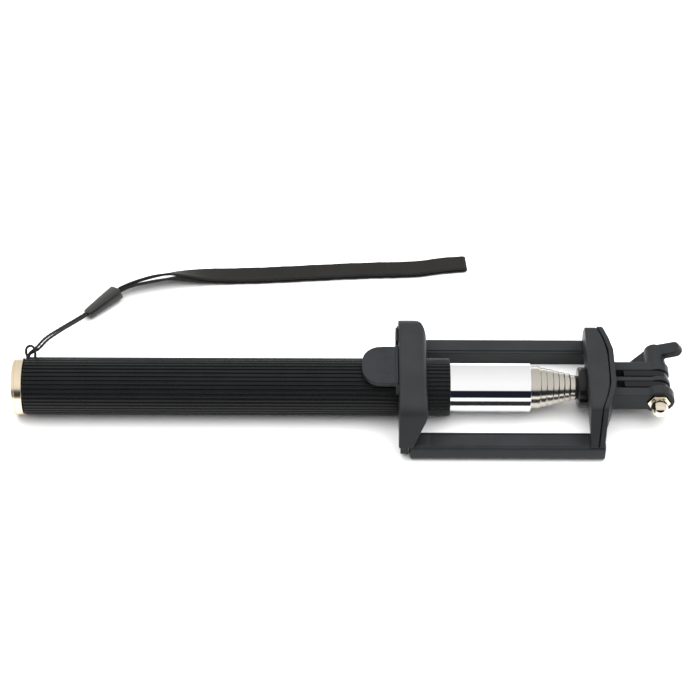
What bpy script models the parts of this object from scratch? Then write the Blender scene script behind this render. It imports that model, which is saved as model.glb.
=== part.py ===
"""Telescopic selfie stick with a folding spring clamp, strap and thumb screw, folded flat.

Frame: +X runs along the pole from the handle's end cap to the head, +Z is up, the origin is
under the middle of the folded stick, on the surface it lies on. Every length below is in
millimetres; MM turns it into Blender's metres. Touching pieces keep a gap of GAP.
"""
import math

import bmesh
import bpy
from mathutils import Vector

MM = 0.001
GAP = 0.3
OBJECT_NAME = "selfie_stick"

# Pole: a ribbed grip over the outermost of eight nested tubes.
POLE_Z = 9.6
GRIP_RADIUS = 9.6
GRIP_START, GRIP_END = -107.45, 33.75
GRIP_RIBS = 42
RIB_DEPTH = 0.55
CAP_END = -111.35
CAP_SPIGOT_RADIUS, CAP_SPIGOT_END = 5.8, -99.0
TUBE_RADII = (8.15, 7.1, 6.62, 6.15, 5.7, 5.25, 4.8, 4.3)
TUBE_TIPS = (60.55, 63.95, 65.95, 68.15, 70.05, 71.95, 73.85, 75.95)
TUBE_WALL = 0.25
OUTER_TUBE_WALL = 0.4
INNER_TUBE_START = -70.0
BUSH_LENGTH = 6.0
SLIDING_FIT = 0.1
BUFFER_LENGTH = 3.0
FACETS = 30
CLEAR_OF_FACE = 0.02

# Head: collar on the last tube, a low neck under the clamp and two prongs on the hinge bolt.
HINGE_X, HINGE_Z = 102.85, 10.8
HINGE_BORE = 2.3
BOLT_RADIUS = 2.0
COLLAR_RADIUS, COLLAR_START, COLLAR_END = 6.8, 76.25, 84.55
SPIGOT_RADIUS, SPIGOT_START = 3.75, 62.0
PIN_X, PIN_RADIUS = 68.0, 0.75
NECK_BOTTOM, NECK_TOP, NECK_END = 2.4, 6.6, 97.0
PRONG_START = 91.45
PRONG_INNER_Y, PRONG_OUTER_Y = 1.15, 3.45

# Clevis on the base jaw: three plates, the two slots between them take the prongs.
CLEVIS_BOTTOM, CLEVIS_TOP = 7.0, 14.6
CLEVIS_HALF_WIDTH = 7.2
CLEVIS_END_RADIUS = 4.3
BOSS_RADIUS = 5.2
SLOT_INNER_Y, SLOT_OUTER_Y = 0.85, 3.75
SLOT_START = 88.85

# Rails: channels fixed to the base jaw, with slides and springs inside them.
RAIL_Y = 20.4
RAIL_HALF_WIDTH = 3.3
RAIL_TOP = 7.1
RAIL_START, RAIL_END = 20.55, 84.55
LAND_START, LAND_END, LAND_HEIGHT, LAND_HALF_WIDTH = 27.0, 78.0, 0.15, 2.3
BORE_HALF_WIDTH, BORE_BOTTOM, BORE_TOP, BORE_END = 1.9, 1.3, 5.8, 79.0
SLIDE_START, SLIDE_END = 20.0, 60.0
SCREW_RADIUS, SCREW_HEAD_RADIUS, SCREW_HEAD_HEIGHT = 0.75, 1.3, 1.0
RAIL_SCREW_X, RAIL_SCREW_Y, RAIL_SCREW_TOP = 82.8, 19.0, 10.4
SPRING_START, SPRING_END = 60.5, 76.4
SPRING_RADIUS, SPRING_WIRE, SPRING_TURNS = 1.25, 0.25, 9
STEPS_PER_TURN = 7
SPRING_PIN_X, SPRING_PIN_RADIUS = 77.4, 0.6

# Jaws: legs stand over the rails, an arch clears the pole, a soft cover fits over a core.
FOOT_Z = 7.4
COVER_WALL = 1.5
TOP_JAW_LEFT, TOP_JAW_RIGHT, TOP_JAW_FOOT_RIGHT = 16.65, 25.95, 21.55
TOP_JAW = {"top_half": 19.6, "top_z": 22.8, "foot_half": 24.2, "arch": 10.2, "corner": 4.5}
BASE_JAW_LEFT, BASE_JAW_FOOT_LEFT = 78.95, 79.7
BASE_JAW = {"top_half": 17.2, "top_z": 21.0, "foot_half": 23.7, "arch": 7.6, "corner": 2.5}
SHELL_BACK_X, SHELL_WALL = 87.85, 1.7
LUG_LEFT, LUG_RIGHT, LUG_BOTTOM, LUG_HALF_WIDTH = 17.25, 19.7, 1.3, 1.9
TAB_LEFT, TAB_HALF_WIDTH, TAB_BOTTOM, TAB_TOP = 4.55, 7.8, 19.5, 21.3

# Thumb screw and nut on the hinge bolt.
HUB_RADIUS, HUB_START, HUB_END = 3.2, 7.5, 16.2
WING_REACH, WING_THICKNESS, WING_TURN = 10.2, 2.8, 38.0
WING_ROOT, WING_ROOT_Y, WING_TIP_Y = 2.6, (11.0, 15.8), (8.7, 13.4)
NUT_CORNER_RADIUS, NUT_FACE_Y, NUT_BACK_Y = 3.83, -7.7, -4.9
NUT_DOME_RADIUS, NUT_DOME_END = 2.8, -12.7
NUT_POCKET_Y = -4.6

# Wrist strap: a thin looped cord in two holes of the handle, a sleeve and a folded flat band.
HOLE_ANGLE = math.radians(38.0)
NOTCH_X, NOTCH_HALF_SPREAD = -106.0, 1.9
HOLE_X, HOLE_RADIUS, HOLE_OFFSET = -104.35, 0.85, 0.8
CORD_RADIUS = 0.4
BAND_HALF_WIDTH, BAND_HALF_THICKNESS = 3.15, 0.45
SLEEVE_TIP, SLEEVE_MOUTH = (-89.35, 39.3, 1.75), (-79.45, 49.5, 2.75)
SLEEVE_TIP_RADIUS, SLEEVE_MOUTH_RADIUS = 1.6, 2.45

AXIS_TURN = {"X": (0, math.pi / 2, 0), "Y": (-math.pi / 2, 0, 0), "Z": (0, 0, 0)}
PLANE_TURN = {"X": (math.pi / 2, 0, math.pi / 2), "Y": (math.pi / 2, 0, 0), "Z": (0, 0, 0)}


def clear_scene():
    for item in list(bpy.data.objects):
        bpy.data.objects.remove(item, do_unlink=True)


def new_collection(name):
    collection = bpy.data.collections.new(name)
    bpy.context.scene.collection.children.link(collection)
    return collection


def material(name, colour, roughness, metallic=0.0):
    look = bpy.data.materials.new(name)
    look.use_nodes = True
    shader = look.node_tree.nodes["Principled BSDF"]
    shader.inputs["Base Color"].default_value = (*colour, 1.0)
    shader.inputs["Roughness"].default_value = roughness
    shader.inputs["Metallic"].default_value = metallic
    look.diffuse_color = (*colour, 1.0)
    return look


clear_scene()
PARTS = new_collection(OBJECT_NAME)
CUTTERS = new_collection("cutters")

PLASTIC = material("black_plastic", (0.055, 0.057, 0.06), 0.5)
SOFT_COVER = material("soft_black_cover", (0.05, 0.05, 0.05), 0.75)
GRIP_RUBBER = material("grip_rubber", (0.03, 0.03, 0.033), 0.6)
CHROME = material("chrome", (0.85, 0.85, 0.86), 0.06, 1.0)
SATIN_NICKEL = material("satin_nickel", (0.72, 0.68, 0.6), 0.28, 1.0)
GOLD = material("champagne_gold", (0.85, 0.72, 0.52), 0.2, 1.0)
STEEL = material("steel", (0.6, 0.6, 0.6), 0.3, 1.0)
BRONZE = material("bush_bronze", (0.65, 0.45, 0.25), 0.35, 1.0)
NYLON = material("nylon", (0.02, 0.02, 0.02), 0.85)
SLEEVE_PLASTIC = material("sleeve_plastic", (0.07, 0.07, 0.065), 0.4)


def add(name, data, look=None, collection=None):
    item = bpy.data.objects.new(name, data)
    (collection or PARTS).objects.link(item)
    if look:
        data.materials.append(look)
    return item


def as_tool(item):
    """Make an object a cutter or a joined piece, which isn't itself a part."""
    for collection in list(item.users_collection):
        collection.objects.unlink(item)
    CUTTERS.objects.link(item)
    item.hide_render = True
    item.display_type = "WIRE"
    return item


def smooth(item, angle=30.0):
    item.data.shade_smooth()
    item.data.set_sharp_from_angle(angle=math.radians(angle))
    return item


def turned(name, profile, look=None, axis="X", origin=(0, 0, 0), facets=FACETS):
    """A turned solid. The profile holds (along, radius) from the far end down the outside."""
    closed = all(radius > 0 for _, radius in profile)
    mesh = bpy.data.meshes.new(name)
    points = [(radius * MM, 0, along * MM) for along, radius in profile]
    edges = [(index, index + 1) for index in range(len(points) - 1)]
    if closed:
        edges.append((len(points) - 1, 0))
    mesh.from_pydata(points, edges, [])
    item = add(name, mesh, look)
    item.location = Vector(origin) * MM
    item.rotation_euler = AXIS_TURN[axis]
    screw = item.modifiers.new("Turn", "SCREW")
    screw.steps = facets
    screw.render_steps = facets
    screw.use_merge_vertices = True
    screw.merge_threshold = 0.00001
    return item


def curve_to_mesh(item):
    """Replace a curve object by its evaluated mesh, with the caps welded on."""
    bpy.context.view_layer.update()
    evaluated = item.evaluated_get(bpy.context.evaluated_depsgraph_get())
    mesh = bpy.data.meshes.new_from_object(evaluated)
    work = bmesh.new()
    work.from_mesh(mesh)
    bmesh.ops.remove_doubles(work, verts=work.verts, dist=0.000005)
    bmesh.ops.recalc_face_normals(work, faces=work.faces)
    work.to_mesh(mesh)
    work.free()
    name = item.name
    world = item.matrix_world.copy()
    bpy.data.objects.remove(item, do_unlink=True)
    solid = add(name, mesh)
    solid.matrix_world = world
    return solid


def slab(name, outlines, low, high, normal, look=None):
    """A flat outline, with any holes after it, extruded from low to high along an axis."""
    curve = bpy.data.curves.new(name, "CURVE")
    curve.dimensions = "2D"
    curve.fill_mode = "BOTH"
    curve.extrude = (high - low) / 2 * MM
    for outline in outlines:
        spline = curve.splines.new("POLY")
        spline.points.add(len(outline) - 1)
        for point, (across, up) in zip(spline.points, outline):
            point.co = (across * MM, up * MM, 0, 1)
        spline.use_cyclic_u = True
    item = add(name, curve)
    middle = (low + high) / 2 * MM
    item.location = {"X": (middle, 0, 0), "Y": (0, middle, 0), "Z": (0, 0, middle)}[normal]
    item.rotation_euler = PLANE_TURN[normal]
    solid = curve_to_mesh(item)
    if look:
        solid.data.materials.append(look)
    return solid


def box(name, x, y, z, look=None):
    """A box between the given pairs of limits."""
    bpy.ops.mesh.primitive_cube_add(size=1)
    item = bpy.context.object
    item.name = name
    item.data.name = name
    for collection in list(item.users_collection):
        collection.objects.unlink(item)
    PARTS.objects.link(item)
    size = [(high - low) * MM for low, high in (x, y, z)]
    centre = [(high + low) / 2 * MM for low, high in (x, y, z)]
    for vertex in item.data.vertices:
        vertex.co = [value * length for value, length in zip(vertex.co, size)]
    item.location = centre
    if look:
        item.data.materials.append(look)
    return item


def rod(name, radius, low, high, axis, origin, look=None, facets=20):
    """A plain round bar between two places along its axis."""
    profile = [(high, 0), (high, radius), (low, radius), (low, 0)]
    return turned(name, profile, look, axis, origin, facets)


def boolean(item, tool, operation):
    modifier = item.modifiers.new(operation.title(), "BOOLEAN")
    modifier.operation = operation
    modifier.solver = "EXACT"
    modifier.object = as_tool(tool)
    return item


def cut(item, *tools):
    for tool in tools:
        boolean(item, tool, "DIFFERENCE")
    return item


def fuse(item, *tools):
    for tool in tools:
        boolean(item, tool, "UNION")
    return item


def keep_within(item, *tools):
    for tool in tools:
        boolean(item, tool, "INTERSECT")
    return item


def bevel(item, width, segments=2, angle=40.0):
    modifier = item.modifiers.new("Round", "BEVEL")
    modifier.width = width * MM
    modifier.segments = segments
    modifier.limit_method = "ANGLE"
    modifier.angle_limit = math.radians(angle)
    return item


def arc(centre, radius, start, end, steps):
    """Points on an arc, angles in degrees."""
    points = []
    for step in range(steps + 1):
        angle = math.radians(start + (end - start) * step / steps)
        points.append((centre[0] + radius * math.cos(angle), centre[1] + radius * math.sin(angle)))
    return points


def rounded(corners, steps=4):
    """An outline from (across, up, radius) corners."""
    outline = []
    for index, (across, up, radius) in enumerate(corners):
        here = Vector((across, up))
        if radius == 0:
            outline.append(tuple(here))
            continue
        before = (Vector(corners[index - 1][:2]) - here).normalized()
        after = (Vector(corners[(index + 1) % len(corners)][:2]) - here).normalized()
        half = before.angle(after) / 2
        reach = radius / math.tan(half)
        start, end = here + before * reach, here + after * reach
        centre = here + (before + after).normalized() * (radius / math.sin(half))
        for step in range(steps + 1):
            share = step / steps
            spoke = (start - centre).slerp(end - centre, share).normalized()
            outline.append(tuple(centre + spoke * radius))
    return outline


def mirrored_x(outline):
    return [(-across, up) for across, up in outline]


# ---------------------------------------------------------------- pole and handle

def hole_point(x, radius, aside):
    """A point at the strap holes: distance from the pole axis, and aside up round the grip."""
    across = radius * math.cos(HOLE_ANGLE) - aside * math.sin(HOLE_ANGLE)
    up = radius * math.sin(HOLE_ANGLE) + aside * math.cos(HOLE_ANGLE)
    return (x, across, POLE_Z + up)


def strap_hole_cutters(name):
    """The notch at the handle's end and the round hole beside it."""
    depth = (5.0, 13.0)
    notch = box(name + "_notch", (GRIP_START - 2, NOTCH_X), (-NOTCH_HALF_SPREAD, NOTCH_HALF_SPREAD), depth)
    hole = rod(name + "_hole", HOLE_RADIUS, depth[0], depth[1], "Z", (HOLE_X, -HOLE_OFFSET, 0), facets=12)
    for cutter in (notch, hole):
        pivot = bpy.data.objects.new(cutter.name + "_pivot", None)
        CUTTERS.objects.link(pivot)
        pivot.location = (0, 0, POLE_Z * MM)
        pivot.rotation_euler = (HOLE_ANGLE - math.pi / 2, 0, 0)
        cutter.parent = pivot
    return notch, hole


def make_grip():
    pitch = 360.0 / GRIP_RIBS
    outline = []
    for rib in range(GRIP_RIBS):
        start = rib * pitch - pitch / 4 - 90.0
        for share, radius in ((0.0, GRIP_RADIUS), (0.5, GRIP_RADIUS), (0.66, GRIP_RADIUS - RIB_DEPTH),
                              (0.84, GRIP_RADIUS - RIB_DEPTH)):
            outline += arc((0, POLE_Z), radius, start + share * pitch, start + share * pitch, 1)[:1]
    inner = arc((0, POLE_Z), TUBE_RADII[0] + GAP, 0, 360, GRIP_RIBS)[:-1]
    grip = slab("grip_sleeve", [outline, inner], GRIP_START, GRIP_END, "X", GRIP_RUBBER)
    return cut(grip, *strap_hole_cutters("grip"))


def make_end_cap():
    flange = GRIP_START - GAP
    profile = [(CAP_SPIGOT_END, 0), (CAP_SPIGOT_END, CAP_SPIGOT_RADIUS), (flange, CAP_SPIGOT_RADIUS),
               (flange, GRIP_RADIUS - 0.2), (flange - 0.2, GRIP_RADIUS), (CAP_END + 0.8, GRIP_RADIUS),
               (CAP_END + 0.25, GRIP_RADIUS - 0.25), (CAP_END, GRIP_RADIUS - 0.8), (CAP_END, 0)]
    smooth(turned("end_cap", profile, GOLD, origin=(0, 0, POLE_Z)))
    inner = TUBE_RADII[0] - OUTER_TUBE_WALL - GAP
    ring = [(-98.5, CAP_SPIGOT_RADIUS + GAP), (-98.5, inner), (-102.6, inner),
            (-102.6, CAP_SPIGOT_RADIUS + GAP)]
    smooth(turned("cap_plug", ring, NYLON, origin=(0, 0, POLE_Z)))
    behind = INNER_TUBE_START - BUSH_LENGTH - 2 * GAP
    smooth(rod("rear_buffer", inner, behind - BUFFER_LENGTH, behind, "X", (0, 0, POLE_Z), NYLON, FACETS))


def tube_inner_radius(index):
    return TUBE_RADII[index] - (OUTER_TUBE_WALL if index == 0 else TUBE_WALL)


def make_tubes():
    for index, (radius, tip) in enumerate(zip(TUBE_RADII, TUBE_TIPS)):
        start = GRIP_START if index == 0 else INNER_TUBE_START
        inner = tube_inner_radius(index)
        mouth = inner
        if index == 0:
            mouth = TUBE_RADII[1] + SLIDING_FIT
        crown = 0.15 if index else 0.3
        profile = [(tip, mouth), (tip, radius - crown), (tip - crown, radius), (start, radius), (start, inner)]
        if index == 0:
            profile += [(tip - 2.0, inner), (tip - 1.5, mouth)]
        look = CHROME if index == 0 else SATIN_NICKEL
        tube = turned("tube_%d" % (index + 1), profile, look, origin=(0, 0, POLE_Z))
        if index == 0:
            cut(tube, *strap_hole_cutters("tube"))
        if index == len(TUBE_RADII) - 1:
            cut(tube, rod("tube_pin_hole", PIN_RADIUS + GAP, -10, 10, "Z", (PIN_X, 0, POLE_Z)))


def make_bushes():
    """A thin split-ring bush behind each sliding tube, each inside the one before it."""
    end = INNER_TUBE_START - GAP
    for index in range(1, len(TUBE_RADII)):
        outer = tube_inner_radius(index - 1) - SLIDING_FIT
        inner = tube_inner_radius(index)
        profile = [(end, inner), (end, outer), (end - BUSH_LENGTH, outer), (end - BUSH_LENGTH, inner)]
        turned("bush_%d" % (index + 1), profile, BRONZE, origin=(0, 0, POLE_Z))


# ---------------------------------------------------------------- head

def make_pole_head():
    profile = [(COLLAR_END, 0), (COLLAR_END, COLLAR_RADIUS - 0.8), (COLLAR_END - 0.8, COLLAR_RADIUS),
               (COLLAR_START + 0.5, COLLAR_RADIUS), (COLLAR_START, COLLAR_RADIUS - 0.5),
               (COLLAR_START, SPIGOT_RADIUS), (SPIGOT_START, SPIGOT_RADIUS), (SPIGOT_START, 0)]
    head = turned("pole_head", profile, PLASTIC, origin=(0, 0, POLE_Z))
    half_height = (CLEVIS_TOP - CLEVIS_BOTTOM) / 2
    outline = [(COLLAR_END - 3, NECK_BOTTOM), (NECK_END - 1, NECK_BOTTOM), (NECK_END + 1.2, NECK_TOP - 1)]
    outline += arc((HINGE_X, HINGE_Z), half_height, -90, 90, 10)
    outline += [(PRONG_START, CLEVIS_TOP), (PRONG_START, NECK_TOP), (COLLAR_END - 3, NECK_TOP)]
    neck = slab("neck", [outline], -PRONG_OUTER_Y, PRONG_OUTER_Y, "Y")
    gap_between = box("prong_gap", (PRONG_START - 1, HINGE_X + 8), (-PRONG_INNER_Y, PRONG_INNER_Y),
                      (NECK_TOP - GAP, CLEVIS_TOP + 2))
    bore = rod("prong_bore", HINGE_BORE, -12, 12, "Y", (HINGE_X, 0, HINGE_Z))
    pin_hole = rod("spigot_pin_hole", PIN_RADIUS + GAP, -10, 10, "Z", (PIN_X, 0, POLE_Z))
    cut(neck, gap_between, bore)
    cut(head, pin_hole)
    fuse(head, neck)
    half_length = TUBE_RADII[-1] - 0.2
    smooth(rod("head_pin", PIN_RADIUS, -half_length, half_length, "Z", (PIN_X, 0, POLE_Z), STEEL, 12))


# ---------------------------------------------------------------- jaws

def jaw_outline(jaw, inset=0.0, foot_z=FOOT_Z, arch_growth=0.0, arched=True):
    """A jaw across the pole: straight flared sides, round top corners, an arch for the pole."""
    top_half = jaw["top_half"] - inset
    top_z = jaw["top_z"] - inset
    flare = (jaw["foot_half"] - jaw["top_half"]) / (jaw["top_z"] - FOOT_Z)
    foot_half = jaw["foot_half"] - inset + (FOOT_Z - foot_z) * flare
    corner = max(jaw["corner"] - inset, 0.5)
    outside = rounded([(foot_half, foot_z, 0), (top_half, top_z, corner), (-top_half, top_z, corner),
                       (-foot_half, foot_z, 0)])
    if not arched:
        return outside
    radius = jaw["arch"] + arch_growth
    arch = [(-radius, foot_z)] + arc((0, POLE_Z), radius, 180, 0, 16) + [(radius, foot_z)]
    return outside + arch


def top_jaw_side(inset, left, foot_z=FOOT_Z):
    """The top jaw from the side: its inner face leans back towards the feet."""
    right, top = TOP_JAW_RIGHT - inset, TOP_JAW["top_z"] - inset + CLEAR_OF_FACE
    return rounded([(left, foot_z, 0), (TOP_JAW_FOOT_RIGHT - inset, foot_z, 0), (right, 18.0, 2.0),
                    (right, top, 2.8 - inset), (left, top, 0)])


def make_top_jaw():
    cover = slab("top_jaw_pad", [jaw_outline(TOP_JAW)], TOP_JAW_LEFT, TOP_JAW_RIGHT + 1, "X", SOFT_COVER)
    keep_within(cover, slab("cover_side", [top_jaw_side(0, TOP_JAW_LEFT - 1)], -30, 30, "Y"))
    pocket = slab("cover_pocket", [jaw_outline(TOP_JAW, COVER_WALL, FOOT_Z - 2, -2.0)],
                  TOP_JAW_LEFT - 2, TOP_JAW_RIGHT + 1, "X")
    keep_within(pocket, slab("pocket_side", [top_jaw_side(COVER_WALL, TOP_JAW_LEFT - 1, FOOT_Z - 1)],
                             -30, 30, "Y"))
    cut(cover, pocket)

    inset = COVER_WALL + GAP
    plate_left, plate_right = TOP_JAW_LEFT - 1.0, TOP_JAW_LEFT - GAP
    body = slab("top_jaw_body", [jaw_outline(TOP_JAW, inset)], plate_right - 0.2, TOP_JAW_RIGHT, "X", PLASTIC)
    keep_within(body, slab("core_side", [top_jaw_side(inset, plate_left)], -30, 30, "Y"))
    plate = dict(TOP_JAW, top_half=16.4, top_z=21.8, foot_half=21.6, corner=3.0)
    back = slab("back_plate", [jaw_outline(plate)], plate_left, plate_right, "X")
    tab = slab("tab_plate", [tab_outline()], TAB_BOTTOM, TAB_TOP, "Z")
    fuse(body, back, tab)
    for side in (-1, 1):
        middle = side * RAIL_Y
        lug = box("lug", (LUG_LEFT, LUG_RIGHT), (middle - LUG_HALF_WIDTH, middle + LUG_HALF_WIDTH),
                  (LUG_BOTTOM, FOOT_Z + 0.5))
        fuse(body, lug)
    for side in (-1, 1):
        origin = (0, side * RAIL_Y, (BORE_BOTTOM + BORE_TOP) / 2)
        cut(body, rod("lug_hole", SCREW_RADIUS + GAP, LUG_LEFT - 2, LUG_RIGHT + 2, "X", origin, facets=12),
            rod("lug_recess", SCREW_HEAD_RADIUS + GAP, LUG_LEFT - 2, LUG_LEFT + 1.2, "X", origin, facets=12))


def tab_outline():
    """The thumb tab: a square end inside the jaw and a wide round end."""
    nose = 6.2
    centre_x = TAB_LEFT + nose
    straight = TOP_JAW_LEFT - GAP - 0.15
    flat = TAB_HALF_WIDTH - nose
    outline = [(straight, TAB_HALF_WIDTH)]
    outline += arc((centre_x, flat), nose, 90, 180, 8)
    outline += arc((centre_x, -flat), nose, 180, 270, 8)
    outline.append((straight, -TAB_HALF_WIDTH))
    return outline


def back_x(y, x):
    """How far the base jaw's curved back has come forward at a distance from the middle."""
    distance = abs(y)
    drops = ((7.0, 0.0), (12.0, 1.2), (17.2, 3.0), (26.0, 4.0))
    for (near, drop_near), (far, drop_far) in zip(drops, drops[1:]):
        if distance <= far:
            share = max(0.0, (distance - near) / (far - near))
            return x - drop_near - share * (drop_far - drop_near)
    return x - drops[-1][1]


PLAN_STATIONS = (26.0, 17.2, 14.5, 12.0, 7.0, -7.0, -12.0, -14.5, -17.2, -26.0)


def base_jaw_plan(front_x, back):
    """The base jaw from above, between a straight front and its curved back."""
    outline = [(back_x(y, back), y) for y in PLAN_STATIONS]
    return outline + [(front_x, -26.0), (front_x, 26.0)]


def base_jaw_side(inset, right, foot_z=FOOT_Z):
    """The base jaw from the side: its inner face leans back towards the feet."""
    left, top = BASE_JAW_LEFT + inset, BASE_JAW["top_z"] + 1
    return [(BASE_JAW_FOOT_LEFT + inset, foot_z), (right, foot_z), (right, top), (left, top), (left, 15.0)]


def make_base_jaw():
    cover_back = SHELL_BACK_X - SHELL_WALL - GAP
    cover = slab("base_jaw_pad", [jaw_outline(BASE_JAW)], BASE_JAW_LEFT - 1, SHELL_BACK_X, "X", SOFT_COVER)
    keep_within(cover, slab("cover_plan", [base_jaw_plan(BASE_JAW_LEFT, cover_back)], 0, 30, "Z"),
                slab("base_cover_side", [base_jaw_side(0, SHELL_BACK_X + 1)], -30, 30, "Y"))
    pocket = slab("base_pocket", [jaw_outline(BASE_JAW, COVER_WALL, FOOT_Z - 2, -2.0)],
                  BASE_JAW_LEFT - 1, SHELL_BACK_X + 2, "X")
    keep_within(pocket, slab("base_pocket_side", [base_jaw_side(COVER_WALL, SHELL_BACK_X + 3, FOOT_Z - 1)],
                             -30, 30, "Y"))
    cut(cover, pocket)

    inset = COVER_WALL + GAP
    shell = slab("base_jaw_shell", [jaw_outline(BASE_JAW, inset)], BASE_JAW_LEFT + 1, SHELL_BACK_X, "X", PLASTIC)
    core_back = SHELL_BACK_X - SHELL_WALL / 2
    keep_within(shell, slab("core_plan", [base_jaw_plan(BASE_JAW_LEFT, core_back)], 0, 30, "Z"),
                slab("base_core_side", [base_jaw_side(inset, SHELL_BACK_X + 1)], -30, 30, "Y"))
    wall = make_shell_wall()
    for side in (-1, 1):
        foot = (RAIL_SCREW_X, side * RAIL_SCREW_Y, 0)
        hole = rod("foot_hole", SCREW_RADIUS + GAP, FOOT_Z - 2, RAIL_SCREW_TOP + 0.6, "Z", foot, facets=12)
        cut(shell, hole)
        cut(wall, hole)
    fuse(shell, wall, make_clevis())


def make_shell_wall():
    """The thin curved back of the base jaw, closed behind the collar."""
    outline = dict(BASE_JAW, top_z=BASE_JAW["top_z"] + 0.3, top_half=BASE_JAW["top_half"] + 0.2)
    wall = slab("shell_wall", [jaw_outline(outline, arched=False)], 75, SHELL_BACK_X + 1, "X")
    plan = [(back_x(y, SHELL_BACK_X), y) for y in PLAN_STATIONS]
    plan += [(back_x(y, SHELL_BACK_X - SHELL_WALL), y) for y in reversed(PLAN_STATIONS)]
    return keep_within(wall, slab("wall_plan", [plan], 0, 30, "Z"))


def hinge_plate(y_low, y_high, end_radius):
    """One clevis plate: a bar from the jaw to a round end about the hinge."""
    half_height = (CLEVIS_TOP - CLEVIS_BOTTOM) / 2
    spread = 180 - math.degrees(math.asin(half_height / end_radius))
    outline = [(SLOT_START - 1, CLEVIS_BOTTOM)]
    outline += arc((HINGE_X, HINGE_Z), end_radius, -spread, spread, 14)
    outline.append((SLOT_START - 1, CLEVIS_TOP))
    return slab("hinge_plate", [outline], y_low, y_high, "Y")


def make_clevis():
    """Three plates on the hinge bolt, with a hexagonal nut trap in the front one."""
    hinge = (HINGE_X, 0, HINGE_Z)
    front = hinge_plate(-CLEVIS_HALF_WIDTH, -SLOT_OUTER_Y, BOSS_RADIUS)
    pocket = turned("nut_pocket", [(NUT_POCKET_Y, 0), (NUT_POCKET_Y, NUT_CORNER_RADIUS + GAP),
                                   (-10, NUT_CORNER_RADIUS + GAP), (-10, 0)], axis="Y", origin=hinge, facets=6)
    cut(front, pocket)
    middle = hinge_plate(-SLOT_INNER_Y, SLOT_INNER_Y, CLEVIS_END_RADIUS)
    rear = hinge_plate(SLOT_OUTER_Y, CLEVIS_HALF_WIDTH, CLEVIS_END_RADIUS)
    for plate in (front, middle, rear):
        cut(plate, rod("plate_bore", HINGE_BORE, -12, 12, "Y", hinge))
    root = box("clevis", (SHELL_BACK_X - 1.2, SLOT_START), (-CLEVIS_HALF_WIDTH, CLEVIS_HALF_WIDTH),
               (CLEVIS_BOTTOM, CLEVIS_TOP))
    return fuse(root, front, middle, rear)


# ---------------------------------------------------------------- rails, slides and springs

def make_rail(name, side):
    inner, outer = RAIL_Y - RAIL_HALF_WIDTH, RAIL_Y + RAIL_HALF_WIDTH
    corners = [(inner, 0, 0.6), (outer, 0, 2.4), (outer, RAIL_TOP, 0.8), (inner, RAIL_TOP, 0.4)]
    outline = rounded(corners, 3)
    if side < 0:
        outline = mirrored_x(outline)
    rail = slab(name, [outline], RAIL_START, RAIL_END, "X", PLASTIC)
    middle = side * RAIL_Y
    fuse(rail, box("land", (LAND_START, LAND_END), (middle - LAND_HALF_WIDTH, middle + LAND_HALF_WIDTH),
                   (RAIL_TOP - 0.5, RAIL_TOP + LAND_HEIGHT)))
    bore = box("rail_bore", (RAIL_START - 2, BORE_END), (middle - BORE_HALF_WIDTH, middle + BORE_HALF_WIDTH),
               (BORE_BOTTOM, BORE_TOP))
    screw_at = (RAIL_SCREW_X, side * RAIL_SCREW_Y, 0)
    screw_hole = rod("rail_hole", SCREW_RADIUS + GAP, -2, RAIL_TOP + 2, "Z", screw_at, facets=12)
    recess = rod("rail_recess", SCREW_HEAD_RADIUS + GAP, -2, 1.9, "Z", screw_at, facets=12)
    pin_hole = rod("pin_hole", SPRING_PIN_RADIUS + GAP, -2, BORE_BOTTOM + 1, "Z", (SPRING_PIN_X, middle, 0),
                   facets=12)
    cut(rail, bore, screw_hole, recess, pin_hole)


def make_slide(name, side):
    middle = side * RAIL_Y
    half = BORE_HALF_WIDTH - GAP
    slide = box(name, (SLIDE_START, SLIDE_END), (middle - half, middle + half), (BORE_BOTTOM + GAP, BORE_TOP - GAP),
                PLASTIC)
    bevel(slide, 0.3, 1)
    origin = (0, middle, (BORE_BOTTOM + BORE_TOP) / 2)
    cut(slide, rod("slide_hole", SCREW_RADIUS + GAP, SLIDE_START - 2, SLIDE_START + 10, "X", origin, facets=12))


def make_spring(name, side):
    count = SPRING_TURNS * STEPS_PER_TURN
    curve = bpy.data.curves.new(name, "CURVE")
    curve.dimensions = "3D"
    curve.bevel_depth = SPRING_WIRE * MM
    curve.bevel_resolution = 0
    curve.use_fill_caps = True
    spline = curve.splines.new("POLY")
    spline.points.add(count)
    height = (BORE_BOTTOM + BORE_TOP) / 2
    for index, point in enumerate(spline.points):
        angle = 2 * math.pi * index / STEPS_PER_TURN
        along = SPRING_START + (SPRING_END - SPRING_START) * index / count
        point.co = (along * MM, (side * RAIL_Y + SPRING_RADIUS * math.cos(angle)) * MM,
                    (height + SPRING_RADIUS * math.sin(angle)) * MM, 1)
    item = add(name, curve)
    curve_to_mesh(item).data.materials.append(STEEL)


def screw_profile(head_low, length_end):
    """A pan-head screw: head at the low end, shank up to the far end."""
    return [(length_end, 0), (length_end, SCREW_RADIUS * 0.6), (length_end - 0.6, SCREW_RADIUS),
            (head_low + SCREW_HEAD_HEIGHT, SCREW_RADIUS), (head_low + SCREW_HEAD_HEIGHT, SCREW_HEAD_RADIUS),
            (head_low + 0.2, SCREW_HEAD_RADIUS), (head_low, SCREW_HEAD_RADIUS - 0.3), (head_low, 0)]


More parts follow.
